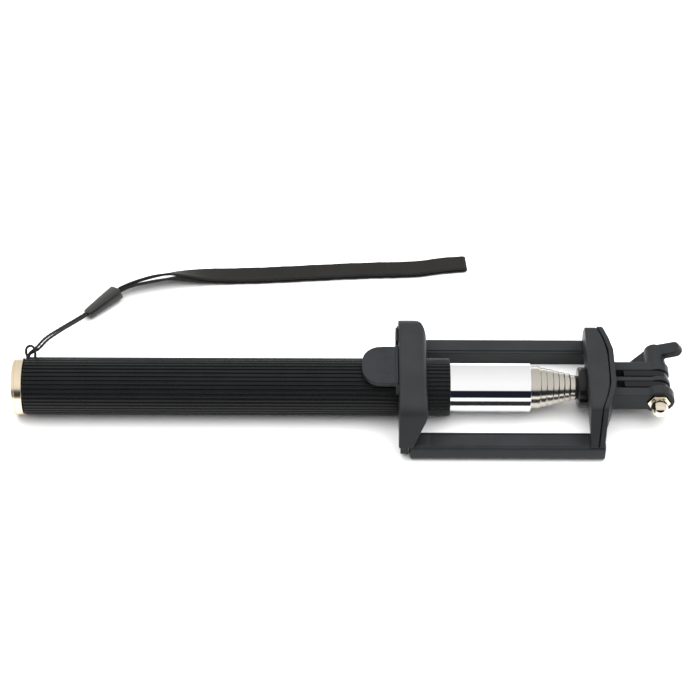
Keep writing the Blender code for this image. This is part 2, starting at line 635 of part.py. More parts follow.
def make_fasteners(word, side):
    """The screws and the spring pin of one rail."""
    middle = side * RAIL_Y
    height = (BORE_BOTTOM + BORE_TOP) / 2
    smooth(turned("rail_screw_" + word, screw_profile(0.4, RAIL_SCREW_TOP), STEEL, "Z",
                  (RAIL_SCREW_X, side * RAIL_SCREW_Y, 0), 12))
    smooth(turned("slide_screw_" + word, screw_profile(LUG_LEFT + 0.1, SLIDE_START + 9.0), STEEL, "X",
                  (0, middle, height), 12))
    smooth(rod("spring_pin_" + word, SPRING_PIN_RADIUS, 0.3, BORE_TOP - GAP, "Z",
               (SPRING_PIN_X, middle, 0), STEEL, 12))


# ---------------------------------------------------------------- hinge bolt, wing and nut

def make_hinge_hardware():
    hinge = (HINGE_X, 0, HINGE_Z)
    bolt = [(HUB_END - 2.0, 0), (HUB_END - 2.0, BOLT_RADIUS), (-9.2, BOLT_RADIUS), (-9.6, BOLT_RADIUS - 0.4),
            (-9.6, 0)]
    smooth(turned("thumb_bolt", bolt, STEEL, "Y", hinge, 20))

    hub = [(HUB_END, 0), (HUB_END, HUB_RADIUS - 0.9), (HUB_END - 0.9, HUB_RADIUS), (HUB_START, HUB_RADIUS + 0.4),
           (HUB_START, 0)]
    wing = turned("thumb_wing", hub, PLASTIC, "Y", hinge, 24)
    near, far = zip(WING_ROOT_Y, WING_TIP_Y)
    right = [(WING_ROOT, near[0], 1.0), (WING_REACH, near[1], 1.8), (WING_REACH, far[1], 2.2), (WING_ROOT, far[0], 2.0)]
    left = [(-across, up, radius) for across, up, radius in reversed(right)]
    outline = rounded(right + left)
    blades = slab("blades", [outline], -WING_THICKNESS / 2, WING_THICKNESS / 2, "Z")
    blades.location = Vector(hinge) * MM
    blades.rotation_euler = (0, -math.radians(WING_TURN), 0)
    bevel(blades, 0.8)
    fuse(wing, blades)
    bore = rod("hub_bore", HINGE_BORE, -5, HUB_END - 1.6, "Y", hinge)
    cut(wing, bore)

    nut = turned("acorn_nut", [(NUT_BACK_Y, 0), (NUT_BACK_Y, NUT_CORNER_RADIUS), (NUT_FACE_Y, NUT_CORNER_RADIUS),
                               (NUT_FACE_Y, 0)], SATIN_NICKEL, "Y", hinge, 6)
    centre = NUT_DOME_END + NUT_DOME_RADIUS
    dome = [(NUT_FACE_Y + 1.0, 0), (NUT_FACE_Y + 1.0, NUT_DOME_RADIUS)]
    dome += [(centre - NUT_DOME_RADIUS * math.sin(math.radians(angle)),
              NUT_DOME_RADIUS * math.cos(math.radians(angle))) for angle in range(0, 90, 15)]
    dome.append((NUT_DOME_END, 0))
    fuse(nut, turned("dome", dome, None, "Y", hinge, 24))
    cut(nut, rod("nut_bore", HINGE_BORE, -10.2, 0, "Y", hinge))


# ---------------------------------------------------------------- wrist strap

def smooth_route(points, spacing):
    """Evenly read points on a smooth curve through the given ones."""
    stations = [Vector(point) for point in points]
    padded = [stations[0] * 2 - stations[1]] + stations + [stations[-1] * 2 - stations[-2]]
    route = []
    for index in range(1, len(padded) - 2):
        before, start, end, after = padded[index - 1:index + 3]
        steps = max(1, round((end - start).length / spacing))
        for step in range(steps):
            t = step / steps
            route.append(0.5 * ((2 * start) + (end - before) * t + (2 * before - 5 * start + 4 * end - after) * t ** 2
                                + (3 * start - before - 3 * end + after) * t ** 3))
    route.append(stations[-1])
    return route


def cord_a_points():
    """The rear strand: out of the notch, over the grip's shoulder and down to the sleeve."""
    return [hole_point(-106.7, 6.9, 0.0), hole_point(-106.7, 9.0, 0.0), hole_point(-106.4, 10.7, 0.0),
            (-104.2, 10.6, 16.9), (-100.7, 16.4, 14.2), (-97.0, 23.7, 10.4), (-93.0, 32.7, 5.4),
            (-90.2, 38.2, 2.3)]


def cord_b_points():
    """The front strand, then inside to the round hole and the bight back into the notch."""
    strand = [(-89.2, 37.6, 2.3), (-92.0, 32.2, 5.2), (-96.0, 23.2, 10.2), (-99.7, 16.0, 13.8),
              (-103.3, 10.6, 15.6), hole_point(-106.2, 10.7, -1.1), hole_point(-106.7, 9.0, -1.1)]
    inside = [hole_point(-106.5, 7.1, -1.05), hole_point(-105.5, 6.7, -0.3), hole_point(-104.5, 7.2, 0.6)]
    bight = [hole_point(-104.35, 9.0, 0.8), hole_point(-104.3, 11.2, 1.0), hole_point(-104.8, 12.7, 1.1),
             hole_point(-105.9, 13.3, 1.1), hole_point(-107.1, 12.6, 1.1), hole_point(-107.3, 11.0, 1.1),
             hole_point(-106.75, 9.2, 1.15), hole_point(-106.7, 7.4, 1.15)]
    return strand + inside + bight


def make_cord(name, points):
    route = smooth_route(points, 1.6)
    curve = bpy.data.curves.new(name, "CURVE")
    curve.dimensions = "3D"
    curve.bevel_depth = CORD_RADIUS * MM
    curve.bevel_resolution = 2
    curve.use_fill_caps = True
    spline = curve.splines.new("POLY")
    spline.points.add(len(route) - 1)
    for point, place in zip(spline.points, route):
        point.co = (*(place * MM), 1)
    curve.materials.append(NYLON)
    add(name, curve)


# Band stations: x, y, height of the centre, lean in degrees (front edge up), half the spread
# of the two legs, and how far the webbing is gathered (1 is its full width).
BAND_STATIONS = (
    (-78.7, 50.3, 3.0, 50, 0.55, 0.7), (-74.2, 52.7, 3.4, 50, 0.6, 0.9), (-68.5, 54.7, 3.65, 50, 1.2, 1.0),
    (-62.9, 55.9, 3.4, 44, 1.2, 1.0), (-56.5, 56.5, 2.45, 22, 0.9, 1.0), (-50.0, 56.8, 1.6, 6, 0.7, 1.0),
    (-38.4, 57.1, 1.2, 0, 0.62, 1.0), (-26.0, 57.7, 1.2, 0, 0.62, 1.0), (-14.8, 58.5, 1.2, 0, 0.62, 1.0),
    (1.4, 59.6, 1.2, 0, 0.62, 1.0), (12.0, 60.1, 1.2, 0, 0.62, 1.0), (23.1, 60.6, 1.2, 0, 0.62, 1.0),
    (34.0, 62.4, 1.2, 0, 0.62, 1.0), (40.4, 63.1, 1.2, 0, 0.62, 1.0))


def make_band(name, layer):
    """One leg of the folded band; layer is +1 for the upper leg and -1 for the lower one."""
    centres, leans = [], []
    for x, y, z, lean, spread, width in BAND_STATIONS:
        angle = math.radians(lean)
        normal = Vector((0, math.sin(angle), math.cos(angle)))
        centres.append(Vector((x, y, z)) + normal * spread * layer)
        leans.append(Vector((lean, width, 0)))
    route = smooth_route(centres, 4.0)
    lean_route = resample(leans, centres, 4.0)
    curve = bpy.data.curves.new(name, "CURVE")
    curve.dimensions = "3D"
    curve.twist_mode = "Z_UP"
    curve.extrude = (BAND_HALF_WIDTH - BAND_HALF_THICKNESS) * MM
    curve.bevel_depth = BAND_HALF_THICKNESS * MM
    curve.bevel_resolution = 0
    curve.use_fill_caps = True
    spline = curve.splines.new("POLY")
    spline.points.add(len(route) - 1)
    for point, place, lean in zip(spline.points, route, lean_route):
        point.co = (*(place * MM), 1)
        point.tilt = math.pi / 2 - math.radians(lean.x)
        point.radius = lean.y
    curve.materials.append(NYLON)
    add(name, curve)


def resample(values, stations, spacing):
    """Values for each point that smooth_route makes between the stations."""
    read = []
    for index in range(len(stations) - 1):
        steps = max(1, round((stations[index + 1] - stations[index]).length / spacing))
        for step in range(steps):
            read.append(values[index].lerp(values[index + 1], step / steps))
    read.append(values[-1])
    return read


def make_strap():
    make_cord("strap_cord_a", cord_a_points())
    make_cord("strap_cord_b", cord_b_points())
    tip, mouth = Vector(SLEEVE_TIP), Vector(SLEEVE_MOUTH)
    length = (mouth - tip).length
    profile = [(length, 0), (length, SLEEVE_MOUTH_RADIUS - 0.5), (length - 0.3, SLEEVE_MOUTH_RADIUS),
               (length * 0.6, SLEEVE_MOUTH_RADIUS - 0.1), (1.2, SLEEVE_TIP_RADIUS), (0.3, SLEEVE_TIP_RADIUS - 0.4),
               (0, SLEEVE_TIP_RADIUS - 0.8), (0, 0)]
    sleeve = turned("strap_sleeve", profile, SLEEVE_PLASTIC, "Z", SLEEVE_TIP, 16)
    sleeve.rotation_euler = (mouth - tip).to_track_quat("Z", "Y").to_euler()
    smooth(sleeve)
    make_band("strap_band_upper", 1)
    make_band("strap_band_lower", -1)


make_end_cap()
make_grip()
make_tubes()
make_bushes()
make_pole_head()
make_top_jaw()
make_base_jaw()
for rail_side, rail_word in ((-1, "front"), (1, "rear")):
    make_rail("rail_" + rail_word, rail_side)
    make_slide("slide_" + rail_word, rail_side)
    make_spring("spring_" + rail_word, rail_side)
    make_fasteners(rail_word, rail_side)
make_hinge_hardware()
make_strap()
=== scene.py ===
"""Looks for the folded selfie stick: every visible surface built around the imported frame."""
import math

import bmesh
import bpy
from mathutils import Matrix, Quaternion, Vector


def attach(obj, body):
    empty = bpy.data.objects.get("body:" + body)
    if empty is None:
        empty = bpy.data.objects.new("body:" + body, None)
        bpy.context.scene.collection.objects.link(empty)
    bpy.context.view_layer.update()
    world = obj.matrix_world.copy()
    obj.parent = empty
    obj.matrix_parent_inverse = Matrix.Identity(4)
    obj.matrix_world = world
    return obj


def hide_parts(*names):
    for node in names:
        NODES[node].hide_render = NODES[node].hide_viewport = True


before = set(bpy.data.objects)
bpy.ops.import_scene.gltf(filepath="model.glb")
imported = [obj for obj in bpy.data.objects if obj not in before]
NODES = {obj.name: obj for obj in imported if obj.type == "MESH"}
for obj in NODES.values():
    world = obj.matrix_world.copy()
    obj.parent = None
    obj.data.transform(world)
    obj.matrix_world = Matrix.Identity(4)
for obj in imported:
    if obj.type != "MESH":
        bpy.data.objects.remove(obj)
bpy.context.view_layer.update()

MM = 0.001

# Places in the frame, in millimetres.
POLE_Z = 9.6
HINGE = (102.85, 0.0, 10.8)
HOLE_ANGLE = math.radians(38.0)


# ---------------------------------------------------------------- camera

TARGET = Vector((0.55, 24.1, 0.0)) * MM
CAMERA_PLACE = Vector((0.55, -453.5, 569.2)) * MM
LENS, ROLL = 111.1, math.radians(0.2)


def make_camera():
    data = bpy.data.cameras.new("camera")
    data.lens = LENS
    data.sensor_width = 36.0
    data.clip_start = 0.01
    data.clip_end = 20.0
    camera = bpy.data.objects.new("camera", data)
    bpy.context.scene.collection.objects.link(camera)
    camera.location = CAMERA_PLACE
    facing = (TARGET - CAMERA_PLACE).to_track_quat("-Z", "Y")
    camera.rotation_euler = (facing @ Quaternion((0, 0, 1), ROLL)).to_euler()
    bpy.context.scene.camera = camera


make_camera()


# ---------------------------------------------------------------- materials

class Graph:
    """A short way to write a material's nodes."""

    def __init__(self, tree):
        self.tree = tree

    def node(self, kind, inputs=None, **settings):
        made = self.tree.nodes.new(kind)
        for key, value in settings.items():
            setattr(made, key, value)
        for key, value in (inputs or {}).items():
            self.feed(made.inputs[key], value)
        return made

    def feed(self, socket, value):
        if isinstance(value, bpy.types.NodeSocket):
            self.tree.links.new(value, socket)
        else:
            socket.default_value = value

    def math(self, operation, *values):
        made = self.node("ShaderNodeMath", operation=operation)
        for socket, value in zip(made.inputs, values):
            self.feed(socket, value)
        return made.outputs[0]

    def span(self, value, low, high, out_low, out_high, kind="LINEAR"):
        made = self.node("ShaderNodeMapRange", {"Value": value, "From Min": low, "From Max": high,
                                                "To Min": out_low, "To Max": out_high}, interpolation_type=kind)
        return made.outputs["Result"]

    def mix(self, factor, a, b):
        made = self.node("ShaderNodeMix", data_type="RGBA")
        self.feed(made.inputs["Factor"], factor)
        self.feed(made.inputs["A"], a)
        self.feed(made.inputs["B"], b)
        return made.outputs["Result"]

    def noise(self, vector, size, detail=2.0):
        made = self.node("ShaderNodeTexNoise", {"Vector": vector, "Scale": 1.0 / (size * MM), "Detail": detail})
        return made.outputs["Fac"]


def shade(colour, factor):
    return tuple(min(1.0, part * factor) for part in colour) + (1.0,)


def look(name, colour, roughness, metallic=0.0, vary=0.12, patch=9.0, spread=0.06, grain=0.35, relief=0.02,
         stretch=(1.0, 1.0, 1.0), **sockets):
    """A moulded or plated finish: soft patches of colour, uneven gloss and a fine raised grain."""
    made = bpy.data.materials.new(name)
    made.use_nodes = True
    graph = Graph(made.node_tree)
    shader = made.node_tree.nodes["Principled BSDF"]
    place = graph.node("ShaderNodeTexCoord").outputs["Object"]
    lined = graph.node("ShaderNodeMapping", {"Vector": place, "Scale": stretch}).outputs["Vector"]
    patches = graph.noise(place, patch, 4.0)
    fine = graph.noise(lined, grain, 3.0)
    worn = graph.span(patches, 0.3, 0.7, 0.0, 1.0)
    graph.feed(shader.inputs["Base Color"], graph.mix(worn, shade(colour, 1 - vary), shade(colour, 1 + vary)))
    uneven = graph.math("ADD", graph.math("MULTIPLY", patches, 0.6), graph.math("MULTIPLY", fine, 0.4))
    graph.feed(shader.inputs["Roughness"], graph.span(uneven, 0.3, 0.7, roughness - spread, roughness + spread))
    shader.inputs["Metallic"].default_value = metallic
    bump = graph.node("ShaderNodeBump", {"Height": fine, "Strength": 0.5, "Distance": relief * MM})
    graph.feed(shader.inputs["Normal"], bump.outputs["Normal"])
    for key, value in sockets.items():
        shader.inputs[key.replace("_", " ")].default_value = value
    return made


def woven(name, colour, along, across, relief):
    """Webbing: rows of weft along the band's length and warp ends across it, read from its UVs in mm, its colour
    painted darker in the weave's hollows and lighter on the raised threads.
    """
    made = bpy.data.materials.new(name)
    made.use_nodes = True
    graph = Graph(made.node_tree)
    shader = made.node_tree.nodes["Principled BSDF"]
    uv = graph.node("ShaderNodeTexCoord").outputs["UV"]
    part = graph.node("ShaderNodeSeparateXYZ", {"Vector": uv})
    u = graph.math("MULTIPLY", part.outputs["X"], 2 * math.pi / along)
    v = graph.math("MULTIPLY", part.outputs["Y"], 2 * math.pi / across)
    rows = graph.math("ABSOLUTE", graph.math("SINE", graph.math("MULTIPLY", u, 0.5)))
    skew = graph.math("ADD", v, graph.math("MULTIPLY", graph.math("SIGN", graph.math("SINE", u)), math.pi / 2))
    ends = graph.math("MULTIPLY", graph.math("ADD", graph.math("SINE", skew), 1.0), 0.5)
    raised = graph.math("ADD", graph.math("MULTIPLY", ends, 0.5), 0.5)
    weave = graph.math("MULTIPLY", graph.math("POWER", rows, 0.6), raised)
    place = graph.node("ShaderNodeTexCoord").outputs["Object"]
    fuzz = graph.noise(place, 0.25, 3.0)
    soft = graph.noise(place, 6.0, 2.0)
    height = graph.math("ADD", weave, graph.math("MULTIPLY", fuzz, 0.35))
    # Painted shade and highlight: the colour follows the weave's height, dark in the hollows between threads and
    # light on the raised ones, times a soft random tone.
    weave_shade_and_tone = graph.math("MULTIPLY", graph.span(weave, 0.1, 0.9, 0.0, 1.0), graph.span(soft, 0.3, 0.7, 0.75, 1.0))
    graph.feed(shader.inputs["Base Color"], graph.mix(weave_shade_and_tone, shade(colour, 0.35), shade(colour, 1.5)))
    graph.feed(shader.inputs["Roughness"], graph.span(fuzz, 0.3, 0.7, 0.72, 0.95))
    bump = graph.node("ShaderNodeBump", {"Height": height, "Strength": 0.9, "Distance": relief * MM})
    graph.feed(shader.inputs["Normal"], bump.outputs["Normal"])
    shader.inputs["Sheen Weight"].default_value = 0.04
    shader.inputs["Specular IOR Level"].default_value = 0.25
    shader.inputs["Sheen Roughness"].default_value = 0.5
    return made


PLASTIC = look("satin_black_plastic", (0.0125, 0.0137, 0.0148), 0.36, spread=0.08, grain=0.22, relief=0.012,
               Specular_IOR_Level=0.14)
SOFT = look("soft_touch_cover", (0.0135, 0.0141, 0.0149), 0.4, spread=0.07, grain=0.28, relief=0.02,
            Specular_IOR_Level=0.14)
RUBBER = look("grip_rubber", (0.0038, 0.0041, 0.0045), 0.3, spread=0.1, grain=0.3, relief=0.02,
              Specular_IOR_Level=0.2)
GLOSSY = look("polished_black_plastic", (0.004, 0.004, 0.0045), 0.2, spread=0.05, grain=0.8, relief=0.004,
              Specular_IOR_Level=0.25)
CHROME = look("chrome_plate", (0.93, 0.93, 0.94), 0.035, 1.0, vary=0.01, spread=0.015, grain=2.0, relief=0.0006)
SATIN = look("warm_satin_nickel", (0.55, 0.52, 0.46), 0.2, 1.0, vary=0.05, spread=0.06, grain=0.06,
             relief=0.002, stretch=(1.0, 0.03, 0.03))
NICKEL = look("bright_nickel", (0.78, 0.71, 0.58), 0.12, 1.0, vary=0.04, spread=0.05, grain=0.5, relief=0.003)
GOLD = look("champagne_anodised", (0.86, 0.73, 0.54), 0.24, 1.0, vary=0.05, spread=0.06, grain=0.06,
            relief=0.003, stretch=(1.0, 0.03, 0.03))
STEEL = look("zinc_plated_steel", (0.62, 0.62, 0.61), 0.3, 1.0, vary=0.08, spread=0.1, grain=0.2, relief=0.004)
BRONZE = look("bush_bronze", (0.62, 0.42, 0.22), 0.32, 1.0, vary=0.1, spread=0.08, grain=0.3, relief=0.004)
INNER = look("black_nylon", (0.008, 0.008, 0.008), 0.55, grain=0.3, relief=0.015)
SLEEVE = look("sleeve_plastic", (0.0105, 0.0105, 0.0095), 0.26, spread=0.08, grain=0.25, relief=0.012)
WEBBING = woven("woven_webbing", (0.0085, 0.008, 0.0075), 0.62, 0.55, 0.16)
BRAID = woven("twisted_cord", (0.010, 0.0095, 0.009), 0.5, 0.4, 0.06)


# ---------------------------------------------------------------- geometry helpers, in millimetres

def add(name, mesh):
    item = bpy.data.objects.new(name, mesh)
    bpy.context.scene.collection.objects.link(item)
    return item


def solid(name, points, faces):
    """A mesh from points in millimetres, with its faces turned outward."""
    mesh = bpy.data.meshes.new(name)
    mesh.from_pydata([Vector(point) * MM for point in points], [], faces)
    work = bmesh.new()
    work.from_mesh(mesh)
    bmesh.ops.remove_doubles(work, verts=work.verts, dist=1e-7)
    bmesh.ops.recalc_face_normals(work, faces=work.faces)
    work.to_mesh(mesh)
    work.free()
    return add(name, mesh)


def smooth(item, angle=35.0):
    item.data.shade_smooth()
    item.data.set_sharp_from_angle(angle=math.radians(angle))
    return item


def lathe(name, profile, axis="X", origin=(0.0, 0.0, 0.0), facets=96):
    """A turned solid from (along, radius), closed on its axis or as a ring."""
    points, rings, faces = [], [], []
    for along, radius in profile:
        count = 1 if radius == 0 else facets
        rings.append([len(points) + step for step in range(count)])
        for step in range(count):
            angle = 2 * math.pi * (step + 0.5) / facets
            u, v = radius * math.cos(angle), radius * math.sin(angle)
            local = {"X": (along, u, v), "Y": (u, along, v), "Z": (u, v, along)}[axis]
            points.append(Vector(local) + Vector(origin))
    pairs = list(zip(rings, rings[1:]))
    if all(radius > 0 for _, radius in profile):
        pairs.append((rings[-1], rings[0]))
    for low, high in pairs:
        for step in range(facets):
            after = (step + 1) % facets
            ring = [low[step % len(low)], low[after % len(low)],
                    high[after % len(high)], high[step % len(high)]]
            faces.append(list(dict.fromkeys(ring)))
    return solid(name, points, [face for face in faces if len(face) > 2])


def fillet(corners, steps=5, closed=False):
    """A line through (along, across, radius) corners, each rounded to its radius."""
    line = []
    for index, (along, across, radius) in enumerate(corners):
        here = Vector((along, across))
        inner = closed or 0 < index < len(corners) - 1
        if radius == 0 or not inner:
            line.append(tuple(here))
            continue
        before = (Vector(corners[index - 1][:2]) - here).normalized()
        after = (Vector(corners[(index + 1) % len(corners)][:2]) - here).normalized()
        half = before.angle(after) / 2
        start, end = here + before * radius / math.tan(half), here + after * radius / math.tan(half)
        centre = here + (before + after).normalized() * (radius / math.sin(half))
        for step in range(steps + 1):
            spoke = (start - centre).slerp(end - centre, step / steps).normalized()
            line.append(tuple(centre + spoke * radius))
    return line


def rectangle(left, right, low, high):
    return [(left, low), (right, low), (right, high), (left, high)]


def prism(name, outline, low, high, normal):
    """An outline in the plane across an axis, between two places along it."""
    turn = {"X": lambda a, b, c: (c, a, b), "Y": lambda a, b, c: (a, c, b),
            "Z": lambda a, b, c: (a, b, c)}[normal]
    count = len(outline)
    points = [turn(a, b, level) for level in (low, high) for a, b in outline]
    faces = [list(range(count)), list(range(count, 2 * count))]
    faces += [[step, (step + 1) % count, (step + 1) % count + count, step + count] for step in range(count)]
    return solid(name, points, faces)


def bake(item):
    """Put the modifiers' result into the mesh."""
    bpy.context.view_layer.update()
    evaluated = item.evaluated_get(bpy.context.evaluated_depsgraph_get())
    mesh = bpy.data.meshes.new_from_object(evaluated)
    item.modifiers.clear()
    item.data = mesh
    return item


def boolean(item, tool, operation):
    modifier = item.modifiers.new(operation.title(), "BOOLEAN")
    modifier.operation = operation
    modifier.solver = "EXACT"
    modifier.object = tool
    bake(item)
    bpy.data.objects.remove(tool, do_unlink=True)
    return item


def cut(item, *tools):
    for tool in tools:
        boolean(item, tool, "DIFFERENCE")
    return item


def fuse(item, *tools):
    for tool in tools:
        boolean(item, tool, "UNION")
    return item


def keep_within(item, *tools):
    for tool in tools:
        boolean(item, tool, "INTERSECT")
    return item


def bevel(item, width, segments=2, angle=40.0):
    modifier = item.modifiers.new("Round", "BEVEL")
    modifier.width = width * MM
    modifier.segments = segments
    modifier.limit_method = "ANGLE"
    modifier.angle_limit = math.radians(angle)
    modifier.harden_normals = False
    return bake(item)


def cad_copy(name, node):
    """A welded copy of a CAD node's shape, to be worked on."""
    mesh = NODES[node].data.copy()
    mesh.name = name
    mesh.materials.clear()
    work = bmesh.new()
    work.from_mesh(mesh)
    bmesh.ops.remove_doubles(work, verts=work.verts, dist=2e-6)
    bmesh.ops.recalc_face_normals(work, faces=work.faces)
    work.to_mesh(mesh)
    work.free()
    return add(name, mesh)


def soften(item, voxel, passes, keep=0.3):
    """Round every edge of a solid as a mould does: remesh it, relax it and thin out the flat areas."""
    remesh = item.modifiers.new("Remesh", "REMESH")
    remesh.mode = "VOXEL"
    remesh.voxel_size = voxel * MM
    relax = item.modifiers.new("Relax", "SMOOTH")
    relax.factor = 0.5
    relax.iterations = passes
    thin = item.modifiers.new("Thin", "DECIMATE")
    thin.ratio = keep
    bake(item)
    item.data.shade_smooth()
    return item


def piece(item, finish, body, nodes):
    item.data.materials.clear()
    item.data.materials.append(finish)
    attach(item, body)
    if nodes:
        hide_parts(*nodes)
    return item


def dress(node, finish):
    """A CAD node that stays gets its material here."""
    item = NODES[node]
    if not item.material_slots:
        item.data.materials.append(finish)
    for held in item.material_slots:
        held.material = finish


# ---------------------------------------------------------------- wrist strap, first because the frame checks it

def hole_point(x, radius, aside):
    """A point at the strap holes: distance from the pole axis, and aside up round the grip."""
    across = radius * math.cos(HOLE_ANGLE) - aside * math.sin(HOLE_ANGLE)
    up = radius * math.sin(HOLE_ANGLE) + aside * math.cos(HOLE_ANGLE)
    return (x, across, POLE_Z + up)


def smooth_route(points, spacing):
    """Evenly read points on a smooth curve through the given ones."""
    stations = [Vector(point) for point in points]
    padded = [stations[0] * 2 - stations[1]] + stations + [stations[-1] * 2 - stations[-2]]
    route = []
    for index in range(1, len(padded) - 2):
        before, start, end, after = padded[index - 1:index + 3]
        steps = max(1, round((end - start).length / spacing))
        for step in range(steps):
            t = step / steps
            route.append(0.5 * ((2 * start) + (end - before) * t
                                + (2 * before - 5 * start + 4 * end - after) * t ** 2
                                + (3 * start - before - 3 * end + after) * t ** 3))
    route.append(stations[-1])
    return route


CORD_A = [hole_point(-106.7, 6.9, 0.0), hole_point(-106.7, 9.0, 0.0), hole_point(-106.4, 10.7, 0.0),
          (-104.2, 10.6, 16.9), (-101.9, 17.0, 14.4), (-98.4, 24.4, 10.3), (-94.6, 32.2, 5.7), (-91.2, 38.2, 2.6)]
CORD_B = [(-90.5, 37.7, 2.4), (-93.8, 31.7, 5.5), (-97.6, 23.9, 10.1), (-101.1, 16.5, 14.0), (-103.5, 11.0, 15.7),
          hole_point(-106.2, 10.7, -1.1), hole_point(-106.7, 9.0, -1.1), hole_point(-106.5, 7.1, -1.05),
          hole_point(-105.5, 6.7, -0.3), hole_point(-104.5, 7.2, 0.6), hole_point(-104.35, 9.0, 0.8),
          hole_point(-104.3, 11.2, 1.0), hole_point(-104.8, 12.7, 1.1), hole_point(-105.9, 13.3, 1.1),
          hole_point(-107.1, 12.6, 1.1), hole_point(-107.3, 11.0, 1.1), hole_point(-106.75, 9.2, 1.15),
          hole_point(-106.7, 7.4, 1.15)]
CORD_RADIUS = 0.46
BAND_HALF_WIDTH, BAND_HALF_THICKNESS = 3.15, 0.45
# x, y, height of the centre, lean in degrees (front edge up), half the spread of the legs, gathered width
BAND_STATIONS = (
    (-80.6, 48.6, 2.95, 50, 0.5, 0.7), (-75.5, 51.2, 3.3, 50, 0.56, 0.9), (-69.0, 53.3, 3.5, 50, 0.85, 1.0),
    (-62.9, 54.8, 3.35, 46, 0.85, 1.0), (-56.5, 55.8, 2.6, 28, 0.75, 1.0), (-50.0, 56.5, 1.75, 10, 0.66, 1.0),
    (-38.4, 57.1, 1.2, 0, 0.62, 1.0), (-26.0, 57.7, 1.2, 0, 0.62, 1.0), (-14.8, 58.5, 1.2, 0, 0.62, 1.0),
    (1.4, 59.6, 1.2, 0, 0.62, 1.0), (12.0, 60.1, 1.2, 0, 0.62, 1.0), (23.1, 60.6, 1.2, 0, 0.62, 1.0),
    (34.0, 62.4, 1.2, 0, 0.62, 1.0), (40.4, 63.1, 1.2, 0, 0.62, 1.0))
SLEEVE_TIP, SLEEVE_MOUTH = Vector((-90.85, 38.0, 1.95)), Vector((-80.95, 48.1, 2.75))


def sweep(name, route, section, frames):
    """A closed tube: section gives the ring's offsets at each place, frames its two directions."""
    rings, points, faces, uvs = [], [], [], []
    travelled = 0.0
    for index, place in enumerate(route):
        if index:
            travelled += (place - route[index - 1]).length
        side, up = frames[index]
        ring = section(index, travelled)
        rings.append((len(points), travelled))
        points += [place + side * a + up * b for a, b in ring]
        round_length = 0.0
        row = []
        for step, (a, b) in enumerate(ring + ring[:1]):
            if step:
                round_length += math.hypot(a - ring[step - 1][0], b - ring[step - 1][1])
            row.append((travelled, round_length))
        uvs.append(row)
    count = len(section(0, 0.0))
    marks = []
    for index in range(len(route) - 1):
        low, high = rings[index][0], rings[index + 1][0]
        for step in range(count):
            after = (step + 1) % count
            faces.append([low + step, low + after, high + after, high + step])
            marks.append([uvs[index][step], uvs[index][step + 1],
                          uvs[index + 1][step + 1], uvs[index + 1][step]])
    faces.append(list(range(count)))
    faces.append([rings[-1][0] + step for step in range(count)])
    marks += [uvs[0][:count], uvs[-1][:count]]
    mesh = bpy.data.meshes.new(name)
    mesh.from_pydata([point * MM for point in points], [], faces)
    layer = mesh.uv_layers.new(name="UVMap")
    for polygon, corners in zip(mesh.polygons, marks):
        for loop, mark in zip(polygon.loop_indices, corners):
            layer.data[loop].uv = mark
    work = bmesh.new()
    work.from_mesh(mesh)
    bmesh.ops.recalc_face_normals(work, faces=work.faces)
    work.to_mesh(mesh)
    work.free()
    return smooth(add(name, mesh), 50)


def route_frames(route):
    """Two directions across a route that turn with it and don't twist."""
    frames = []
    up = Vector((0.3, 0.2, 1.0))
    for index, place in enumerate(route):
        before, after = route[max(index - 1, 0)], route[min(index + 1, len(route) - 1)]
        along = (after - before).normalized()
        up = (up - along * up.dot(along)).normalized()
        frames.append((along.cross(up).normalized(), up.copy()))
    return frames


def make_cord(name, points, node):
    """A two-ply twisted cord: its section has two lobes that turn along its length."""
    route = smooth_route(points, 0.35)
    around, lay_length = 14, 2.2

    def section(_, travelled):
        ring = []
        for step in range(around):
            angle = 2 * math.pi * step / around
            lobes = abs(math.cos(angle - math.pi * travelled / lay_length))
            radius = CORD_RADIUS * (0.8 + 0.22 * lobes)
            ring.append((radius * math.cos(angle), radius * math.sin(angle)))
        return ring

    cord = sweep(name, route, section, route_frames(route))
    piece(cord, BRAID, "handle", [node])


def band_ring(width, thickness):
    """The webbing's section: flat faces and round selvedges, a little thicker at the edges."""
    ring = []
    flat = width - thickness
    for step in range(9):
        share = -1 + 2 * step / 8
        ring.append((flat * share, thickness * (0.86 + 0.14 * abs(share) ** 3)))
    ring += [(flat + thickness * math.cos(math.radians(angle)), thickness * math.sin(math.radians(angle)))
             for angle in (60, 20, -20, -60)]
    ring += [(a, -b) for a, b in reversed(ring[:9])]
    ring += [(-flat - thickness * math.cos(math.radians(angle)), -thickness * math.sin(math.radians(angle)))
             for angle in (60, 20, -20, -60)]
    return ring


def band_stations(layer):
    """Centre line of one leg, with its lean and width at each place."""
    stations = []
    for x, y, z, lean, spread, width in BAND_STATIONS:
        angle = math.radians(lean)
        normal = Vector((0.0, math.sin(angle), math.cos(angle)))
        stations.append((Vector((x, y, z)) + normal * spread * layer, Vector((lean, width, 0.0))))
    return stations


def make_band(name, layer, node, length):
    stations = band_stations(layer)
    centres = [centre for centre, _ in stations]
    route = smooth_route(centres, 0.7)
    values = []
    for index in range(len(centres) - 1):
        steps = max(1, round((centres[index + 1] - centres[index]).length / 0.7))
        values += [stations[index][1].lerp(stations[index + 1][1], step / steps) for step in range(steps)]
    values.append(stations[-1][1])
    frames = []
    for index, value in enumerate(values):
        before, after = route[max(index - 1, 0)], route[min(index + 1, len(route) - 1)]
        along = (after - before).normalized()
        angle = math.radians(value.x)
        side = Vector((0.0, -math.cos(angle), math.sin(angle)))
        side = (side - along * side.dot(along)).normalized()
        frames.append((side, side.cross(along).normalized()))

    def section(index, travelled):
        wave = 0.05 * math.sin(travelled * 0.55 + layer) + 0.03 * math.sin(travelled * 1.3)
        return band_ring((BAND_HALF_WIDTH + wave) * values[index].y, BAND_HALF_THICKNESS)

    band = sweep(name, route, section, frames)
    piece(band, WEBBING, "handle", [node])
    return band, route


